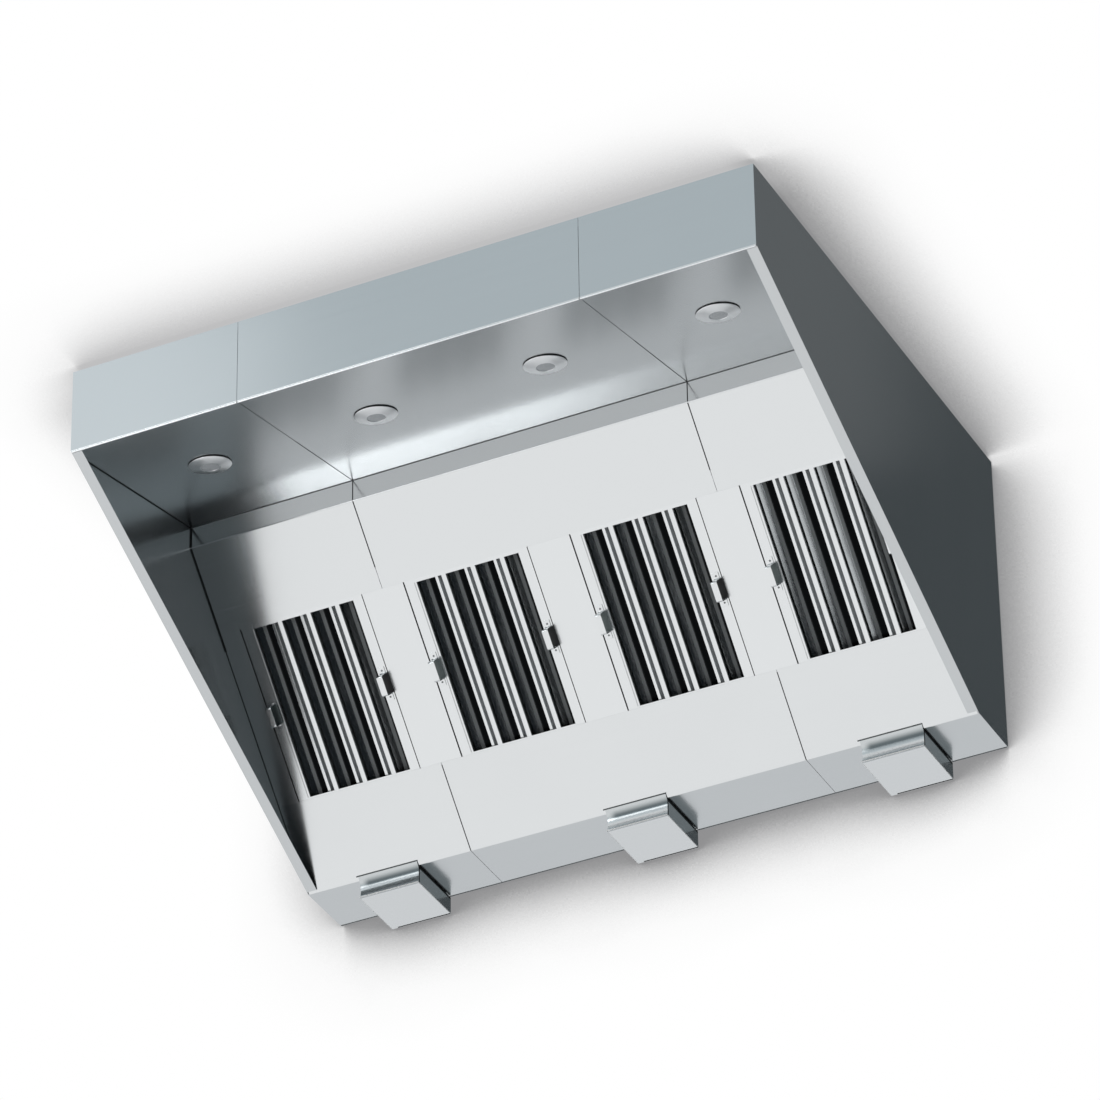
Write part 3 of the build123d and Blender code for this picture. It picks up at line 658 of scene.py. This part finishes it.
class HOOD_OT_trim(bpy.types.Operator):
    """Build the fascia's bright hem, the sealed seams of the ceiling and wall, and bars of painted
    shade at the ceiling's back and the tray's rear and of painted highlight at the wall's top
    """

    bl_idname = "hood.trim"
    bl_label = "Hems and seams"

    def execute(self, context):
        steel = context.scene.hood_steel
        bright = satin_steel("bright_hem_and_highlight", steel.hem, (2.0, 300.0, 300.0), roughness=(0.2, 0.26))
        seal = plain_finish("seam_seal", steel.seal, 0.5)
        self.fascia_hems(bright)
        self.seam_seals(seal)
        self.side_seals(seal)
        self.bend_shade_and_highlight(steel, bright)
        return {"FINISHED"}

    def fascia_hems(self, bright):
        """Rolled hem under each module of the fascia."""
        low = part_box("fascia_left")[0].z
        section = ((FRONT, low + HEM_LAP), (FRONT, low - HEM_DROP),
                   (FRONT + HEM_DEPTH, low - HEM_DROP), (FRONT + HEM_DEPTH, low + HEM_LAP))
        for side in ("left", "middle", "right"):
            lowest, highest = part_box(f"fascia_{side}")
            hem = soften(drawn(section, lowest.x, highest.x), HEM_ROUND, 5)
            finish(f"fascia_hem_{side}", hem, bright, "canopy", "panel")

    def seam_seals(self, seal):
        """Beads in the seams between modules, broken where the filters hide them."""
        runs = (
            (CEILING_EDGE, CEILING_MIDDLE, 0.0012, 0.0004),
            (CEILING_MIDDLE, CEILING_BACK, 0.0022, 0.0004),
            (CEILING_BACK, WALL_TOP, 0.0030, 0.0004),
            (WALL_TOP, on_wall(SEAM_BREAK[0]), 0.0030, 0.0004),
            (on_wall(SEAM_BREAK[1]), on_wall(WALL_LENGTH), 0.0026, 0.0004),
        )
        for index, x in enumerate(SEAMS):
            beads = [rib(start, end, x, width, height) for start, end, width, height in runs]
            finish(f"seam_seal_{index + 1}", joined(beads), seal, "canopy", "structure")

    def side_seals(self, seal):
        """Beads in the corners along the two side sheets."""
        runs = (
            (CEILING_START, CEILING_BACK, 0.0030, 0.0006),
            (CEILING_BACK, WALL_TOP, 0.0040, 0.0006),
            (WALL_TOP, on_wall(SEAL_NARROWS), 0.0034, 0.0006),
            (on_wall(SEAL_NARROWS), on_wall(WALL_LENGTH), 0.0015, 0.0004),
        )
        half = CAD_BOX[1][0] - SIDE_GAP
        for side, x in (("left", -half), ("right", half)):
            beads = [rib(start, end, x - math.copysign(width / 2, x), width, height)
                     for start, end, width, height in runs]
            finish(f"side_seal_{side}", joined(beads), seal, "canopy", "structure")

    def bend_shade_and_highlight(self, steel, bright):
        """Bars of painted shade at the ceiling's back and along the tray's rear, and of painted
        highlight at the wall's top.
        """
        half = CAD_BOX[1][0] - SIDE_GAP
        tray = (CAD_BOX[1][1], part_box("grease_tray_middle")[0].z)
        for name, place, offsets, material, slot in (
            ("ceiling_corner", CEILING_BACK, CEILING_CORNER,
             plain_finish("corner_shade", steel.corner, 0.5), "structure"),
            ("wall_bend_highlight", WALL_TOP, WALL_BEND_HIGHLIGHT, bright, "panel"),
            ("tray_rear_edge", tray, TRAY_EDGE, plain_finish("edge_shade", steel.edge, 0.5),
             "structure"),
        ):
            edge = marked((-half, *place), (half, *place), offsets)
            finish(name, edge, material, "canopy", slot)


class HOOD_OT_filters(bpy.types.Operator):
    """Finish the baffle filters and build their troughs with painted shade, highlight and
    reflection, the black strips of painted shade beside them, and their handles with painted shade
    under them
    """

    bl_idname = "hood.filters"
    bl_label = "Baffle filters"

    def execute(self, context):
        steel = context.scene.hood_steel
        lines = 1.0 / steel.grain
        rails = satin_steel("satin_filters", steel.filter, (lines, 1.5, lines), turn=WALL_ANGLE)
        dress(rails, *named("front_baffles"))
        # Filter frames, with painted shade on their returns
        dress(gap_steel("frame_steel", steel.filter, steel.trough), *named("filter_frame"))
        hollow = trough_painted_shading("trough_painted_shading", steel.filter, steel.trough)
        # Black strips that paint the shade in the gaps beside the filters
        gap_shade_black = plain_finish("gap_shade_finish", steel.gap_shade_black, 0.7)
        bright = satin_steel("bright_handles", steel.filter, (lines, 3.0, lines), turn=WALL_ANGLE,
                             roughness=(0.16, 0.24))
        rivet = satin_steel("rivet_steel", steel.rivet, FINE)
        # Painted shade under the left and right handles
        handle_shades = (plain_finish("handle_shade_left", steel.handle_shade_left, 0.5),
                plain_finish("handle_shade_right", steel.handle_shade_right, 0.5))
        for number, centre in enumerate(FILTER_CENTRES, 1):
            body = f"filter_{number}"
            straps, heads = self.handles(number, centre, handle_shades)
            finish(f"baffle_troughs_{number}", self.troughs(number), hollow, body, "baffle",
                   f"rear_baffles_{number}")
            self.gap_shade_strips(number, gap_shade_black)
            finish(f"handle_straps_{number}", joined(straps), bright, body, "filter",
                   f"filter_handles_{number}")
            finish(f"handle_rivets_{number}", joined(heads), rivet, body, "filter")
        return {"FINISHED"}

    def troughs(self, number):
        """Folded troughs of one filter, drawn out down the wall."""
        lowest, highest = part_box(f"filter_frame_{number}")
        made = []
        for index in range(TROUGH_COUNT):
            edge = lowest.x + FIRST_TROUGH + index * TROUGH_PITCH
            points = [(-(edge + x), depth + TROUGH_SEAT) for x, depth in TROUGH_SECTION]
            if index == TROUGH_COUNT - 1:
                wall = highest.x - LAST_WALL_GAP
                points[3:] = [(-wall, points[3][1]), (-(wall - LAST_WALL_LEAN), points[4][1])]
            sheet = bent(points, *TROUGH_ENDS, TROUGH_SHEET, TROUGH_BEND, TROUGH_FOLD_BEND)
            made.append(placed(sheet, WALL_PLACE @ Matrix.Rotation(math.pi / 2, 4, "Z")))
        return joined(made)

    def gap_shade_strips(self, number, gap_shade_black):
        """Black strips of painted shade in the gaps at both sides of a filter."""
        lowest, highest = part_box(f"filter_frame_{number}")
        (top, foot), (face, back) = SHADE_STRIP_ENDS, SHADE_STRIP_DEPTHS
        width = SHADE_STRIP_REACH - SHADE_STRIP_GAP
        for side, x in (("left", lowest.x - SHADE_STRIP_REACH), ("right", highest.x + SHADE_STRIP_GAP)):
            strip = bar((x, top, face), (x + width, foot, back), 0.0003)
            finish(f"filter_gap_shade_{side}_{number}", placed(strip, WALL_PLACE), gap_shade_black, "canopy",
                   "structure")

    def handles(self, number, centre, handle_shades):
        """Makes the sheets of painted shade under a filter's two handles; returns their straps and
        rivets as meshes.
        """
        face, out = FILTER_FACE, FILTER_FACE - HANDLE_STAND
        grip, half = HANDLE_SPAN / 2, HANDLE_WIDTH / 2
        path = ((-grip - HANDLE_FOOT, face), (-grip, face), (-grip, out), (grip, out), (grip, face),
                (grip + HANDLE_FOOT, face))
        patch = ((-grip, face), (grip, face), (grip, face - HANDLE_SHADE_SHEET), (-grip, face - HANDLE_SHADE_SHEET))
        straps, heads = [], []
        for side, offset in enumerate((-HANDLE_OFFSET, HANDLE_OFFSET)):
            place = WALL_PLACE @ Matrix.Translation((centre + offset, HANDLE_RUN, 0.0))
            strap = bent(path, -half, half, HANDLE_SHEET, HANDLE_BEND)
            straps.append(placed(soften(strap, 0.0003, 2, 40.0), place))
            for run in (-grip - HANDLE_FOOT / 2, grip + HANDLE_FOOT / 2):
                seat = Matrix.Translation((0.0, run, face - RIVET_SEAT))
                flip = Matrix.Rotation(math.pi, 4, "X")
                heads.append(placed(turned(RIVET, RIVET_STEPS), place @ seat @ flip))
            # Sheet of painted shade under the strap
            shade_sheet = soften(drawn(patch, -HANDLE_SHADE_WIDTH / 2, HANDLE_SHADE_WIDTH / 2), 0.0002, 2)
            finish(f"handle_shade_sheet_{number}_{side + 1}", placed(shade_sheet, place), handle_shades[side],
                   f"filter_{number}", "filter")
        return straps, heads


class HOOD_OT_lamps(bpy.types.Operator):
    """Build the downlights' bezels, the black rings of painted shade under them, and the lenses"""

    bl_idname = "hood.lamps"
    bl_label = "Downlights"

    def execute(self, context):
        steel = context.scene.hood_steel
        ring = satin_steel("bezel_ring", steel.hem, (60.0, 60.0, 60.0), roughness=(0.30, 0.36))
        glass = plain_finish("frosted_lens", steel.lens, 0.4)
        gap_shade_black = plain_finish("lamp_gap_shade", steel.gap_shade_black, 0.7)
        dress(plain_finish("can_paint", steel.can, 0.6), *named("lamp_cans"))
        tilt = Matrix.Rotation(math.pi + CEILING_ANGLE, 4, "X")
        for number, x in enumerate(FILTER_CENTRES, 1):
            place = Matrix.Translation((x, *LAMP_SEAT)) @ tilt
            bezel = placed(soften(turned(BEZEL), 0.0006, 3, 20.0), place)
            finish(f"bezel_{number}", bezel, ring, "canopy", "bezel", f"lamp_bezel_{number}",
                   flat=ALL_SMOOTH)
            # Black ring of painted shade between the bezel's rim and the ceiling
            seat = placed(soften(turned(LAMP_GAP_SHADE), 0.0004, 2), place)
            finish(f"bezel_gap_shade_{number}", seat, gap_shade_black, "canopy", "bezel", flat=ALL_SMOOTH)
            lens = placed(turned(LENS), place)
            finish(f"lens_{number}", lens, glass, "canopy", "lens", f"lamp_lens_{number}",
                   flat=ALL_SMOOTH)
        return {"FINISHED"}


class HOOD_OT_drawers(bpy.types.Operator):
    """Finish the grease drawers, with painted shade and a painted dark reflection on their fronts,
    and build bars of painted highlight on their foot edges and of painted shade on their lips, rear
    edges and gaps
    """

    bl_idname = "hood.drawers"
    bl_label = "Grease drawers"

    def execute(self, context):
        steel = context.scene.hood_steel
        lines = 1.0 / steel.grain
        # Bars of painted highlight on the drawers' foot edges
        bright = plain_finish("drawer_edge_highlight", steel.edge_highlight, 0.4)
        # Painted shade on the drawers' lips and rear edges
        matte_painted_shading = plain_finish("drawer_lip_shade", steel.edge, 0.5)
        # Black bars that paint the shade in the drawers' gaps
        shadow = plain_finish("drawer_gap_shade", steel.gap_shade_black, 0.6)
        for number in DRAWERS:
            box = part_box(f"grease_drawer_{number}")
            satin = satin_steel(f"satin_drawer_{number}", steel.drawer, (1.5, lines, lines))
            dress(recoloured(satin, self.front_painted_shading(steel, box[0].x)), f"grease_drawer_{number}")
            for name, bars, material in (("edge_highlights", self.edge_highlights(box), bright),
                                         ("lip_and_rear_shade", self.lip_and_rear_shade(box), matte_painted_shading),
                                         ("gaps", self.gaps(box), shadow)):
                finish(f"drawer_{name}_{number}", joined(bars), material, f"drawer_{number}",
                       "drawer")
        return {"FINISHED"}

    def front_painted_shading(self, steel, left):
        """Colour of a drawer, with painted shade on its dished front and a painted dark reflection
        in a band that fades out at the left.
        """
        def mixed(tree):
            x, y, z = along(tree, place_of(tree))
            top, upper, lower, base = DRAWER_BAND
            falling = ramp(tree, z, upper, top, 1.0, 0.0)
            rising = ramp(tree, z, base, lower, 0.0, 1.0)
            inside = ramp(tree, x, left + BAND_START[0], left + BAND_START[1], 0.0, 1.0)
            band = times(tree, times(tree, falling, rising), inside)
            face = blend(tree, band, steel.front, steel.band)
            return blend(tree, ramp(tree, y, *DRAWER_FACE, 1.0, 0.0), steel.drawer, face)

        return mixed

    def edge_highlights(self, box):
        """Bright bars of painted highlight round the drawer's foot."""
        (x0, y0, z0), (x1, y1, _) = box
        front = y0 + DRAWER_LIP
        bars = [marked((x0, front, z0), (x1, front, z0), FRONT_EDGE_HIGHLIGHT)]
        for x in (x0, x1):
            bars.append(marked((x, front, z0), (x, y1, z0), SIDE_EDGE_HIGHLIGHT))
        return bars

    def lip_and_rear_shade(self, box):
        """Dark bars of painted shade on the lip over the front and along the rear edge."""
        (x0, y0, z0), (x1, y1, z1) = box
        return [marked((x0, y0, z1), (x1, y0, z1), FRONT_LIP_SHADE),
                marked((x0, y1, z0), (x1, y1, z0), REAR_EDGE_SHADE)]

    def gaps(self, box):
        """Dark bars of painted shade in the gaps behind the front and along both sides under the
        runners.
        """
        (x0, y0, z0), (x1, y1, z1) = box
        front = y0 + DRAWER_LIP
        bars = [marked((x1, front, z0), (x1, front, z1), FRONT_GAP_SHADE)]
        for x, offsets in ((x0, LEFT_GAP_SHADE), (x1, RIGHT_GAP_SHADE)):
            bars.append(marked((x, front, z1), (x, y1, z1), offsets))
        return bars


def soft_light(name, place, aim, size, radiance):
    """Rectangular softbox that gives this radiance, aimed at a point and hidden from the camera."""
    lamp = bpy.data.lights.new(name, "AREA")
    lamp.shape = "RECTANGLE"
    lamp.size, lamp.size_y = size
    lamp.energy = radiance * math.pi * size[0] * size[1]
    box = bpy.data.objects.new(name, lamp)
    box.location = place
    box.rotation_euler = (Vector(aim) - Vector(place)).to_track_quat("-Z", "Y").to_euler()
    box.visible_camera = False
    bpy.context.collection.objects.link(box)


def facing(tree, direction, aim, outer, inner):
    """1 towards aim and 0 beyond the outer cosine."""
    dot = node(tree, "ShaderNodeVectorMath", operation="DOT_PRODUCT")
    link(tree, direction, dot.inputs[0])
    dot.inputs[1].default_value = aim
    return ramp(tree, dot.outputs["Value"], outer, inner, 0.0, 1.0)


def with_areas(tree, direction, colour, areas):
    """Colour with soft-edged areas of other colours laid over it."""
    for aim, outer, inner, tint in areas:
        colour = blend(tree, facing(tree, direction, aim, outer, inner), colour, tint)
    return colour


def studio_world():
    """White studio for the camera; in reflections it has a pale left half and a dark right half."""
    world = bpy.data.worlds.new("studio")
    bpy.context.scene.world = world
    world.use_nodes = True
    tree = world.node_tree
    background = tree.nodes["Background"]
    direction = node(tree, "ShaderNodeTexCoord").outputs["Generated"]
    pale = with_areas(tree, direction, WHITE, PALE_AREAS)
    dark = with_areas(tree, direction, DARK_HALF, DARK_AREAS)
    side = facing(tree, direction, (1.0, 0.0, 0.0), *DARK_SIDE)
    colour = blend(tree, side, pale, dark)
    seen = node(tree, "ShaderNodeLightPath").outputs["Is Camera Ray"]
    link(tree, blend(tree, seen, colour, WHITE), background.inputs["Color"])
    background.inputs["Strength"].default_value = 1.0


def backdrop_paint(name, colour, above, reach):
    """Even white that keeps the object's soft shadow and is clear from behind."""
    material, tree, shader = new_material(name)
    tree.nodes.remove(shader)
    shadow = node(tree, "ShaderNodeAmbientOcclusion", samples=SHADOW_SAMPLES)
    shadow.inputs["Distance"].default_value = reach
    light = ramp(tree, shadow.outputs["AO"], *SHADOW_SPAN, 0.0, 1.0)
    surface = node(tree, "ShaderNodeNewGeometry")
    x, y, _ = along(tree, surface.outputs["Position"])
    before = ramp(tree, y, *BEFORE_SPAN, 1.0, 0.0)
    between = ramp(tree, x, *SIDE_SPAN, 1.0, 0.0)
    dark = blend(tree, times(tree, before, between), colour, above)
    glow = node(tree, "ShaderNodeEmission")
    link(tree, blend(tree, light, dark, WHITE), glow.inputs["Color"])
    glow.inputs["Strength"].default_value = 1.0
    clear = node(tree, "ShaderNodeBsdfTransparent")
    mix = node(tree, "ShaderNodeMixShader")
    link(tree, surface.outputs["Backfacing"], mix.inputs[0])
    link(tree, glow.outputs["Emission"], mix.inputs[1])
    link(tree, clear.outputs["BSDF"], mix.inputs[2])
    link(tree, mix.outputs["Shader"], tree.nodes["Material Output"].inputs["Surface"])
    return material


def backdrop(name, place, turn, material):
    """Studio plane that only the camera sees; it takes the object's shadow."""
    bpy.ops.mesh.primitive_plane_add(size=BACKDROP_SIZE, location=place, rotation=turn)
    plane = bpy.context.active_object
    plane.name = name
    plane.data.materials.append(material)
    plane.visible_diffuse = False
    plane.visible_glossy = False
    plane.visible_transmission = False
    plane.visible_shadow = False


def photo_camera():
    """Camera at the photo's place."""
    camera = bpy.data.cameras.new("photo_camera")
    camera.sensor_width = CAMERA_SENSOR
    camera.lens = CAMERA_LENS
    camera.clip_end = CAMERA_REACH
    viewer = bpy.data.objects.new("photo_camera", camera)
    axes = Matrix((CAMERA_RIGHT, CAMERA_UP, CAMERA_BACK)).transposed()
    viewer.matrix_world = Matrix.Translation(CAMERA_PLACE) @ axes.to_4x4()
    bpy.context.collection.objects.link(viewer)
    bpy.context.scene.camera = viewer


class HOOD_OT_stage(bpy.types.Operator):
    """Set up the studio: floor, wall, ceiling, soft light and the camera"""

    bl_idname = "hood.stage"
    bl_label = "Studio"

    def execute(self, context):
        stage = context.scene.hood_stage
        context.scene.view_settings.view_transform = "Standard"
        studio_world()
        paint = backdrop_paint("backdrop_paint", stage.shadow, stage.above, stage.shadow_reach)
        behind = CAD_BOX[1][1] + stage.backdrop_gap
        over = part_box("top_panel")[1][2] + stage.ceiling_gap
        backdrop("studio_floor", (0.0, 0.0, stage.floor_level), (0.0, 0.0, 0.0), paint)
        backdrop("studio_wall", (0.0, behind, 0.0), (math.pi / 2, 0.0, 0.0), paint)
        backdrop("studio_ceiling", (0.0, 0.0, over), (math.pi, 0.0, 0.0), paint)
        for name, place, aim, size, radiance in SOFT_BOXES:
            soft_light(name, place, aim, size, radiance)
        photo_camera()
        return {"FINISHED"}


class HOOD_PT_panel(bpy.types.Panel):
    """Sidebar panel with the hood's operators"""

    bl_label = "Canopy hood"
    bl_idname = "HOOD_PT_panel"
    bl_space_type = "VIEW_3D"
    bl_region_type = "UI"
    bl_category = "Hood"

    def draw(self, context):
        for operator in OPERATORS:
            self.layout.operator(operator.bl_idname)


OPERATORS = (
    HOOD_OT_sheets,
    HOOD_OT_trim,
    HOOD_OT_filters,
    HOOD_OT_lamps,
    HOOD_OT_drawers,
    HOOD_OT_stage,
)
SETTINGS = {"hood_steel": SteelSettings, "hood_stage": StageSettings}


def register():
    for cls in (*SETTINGS.values(), *OPERATORS, HOOD_PT_panel):
        bpy.utils.register_class(cls)
    for name, group in SETTINGS.items():
        setattr(bpy.types.Scene, name, PointerProperty(type=group))


def unregister():
    for name in SETTINGS:
        delattr(bpy.types.Scene, name)
    for cls in (HOOD_PT_panel, *reversed(OPERATORS), *SETTINGS.values()):
        bpy.utils.unregister_class(cls)


def main():
    register()
    for operator in OPERATORS:
        group, name = operator.bl_idname.split(".")
        getattr(getattr(bpy.ops, group), name)()


if __name__ == "__main__":
    main()
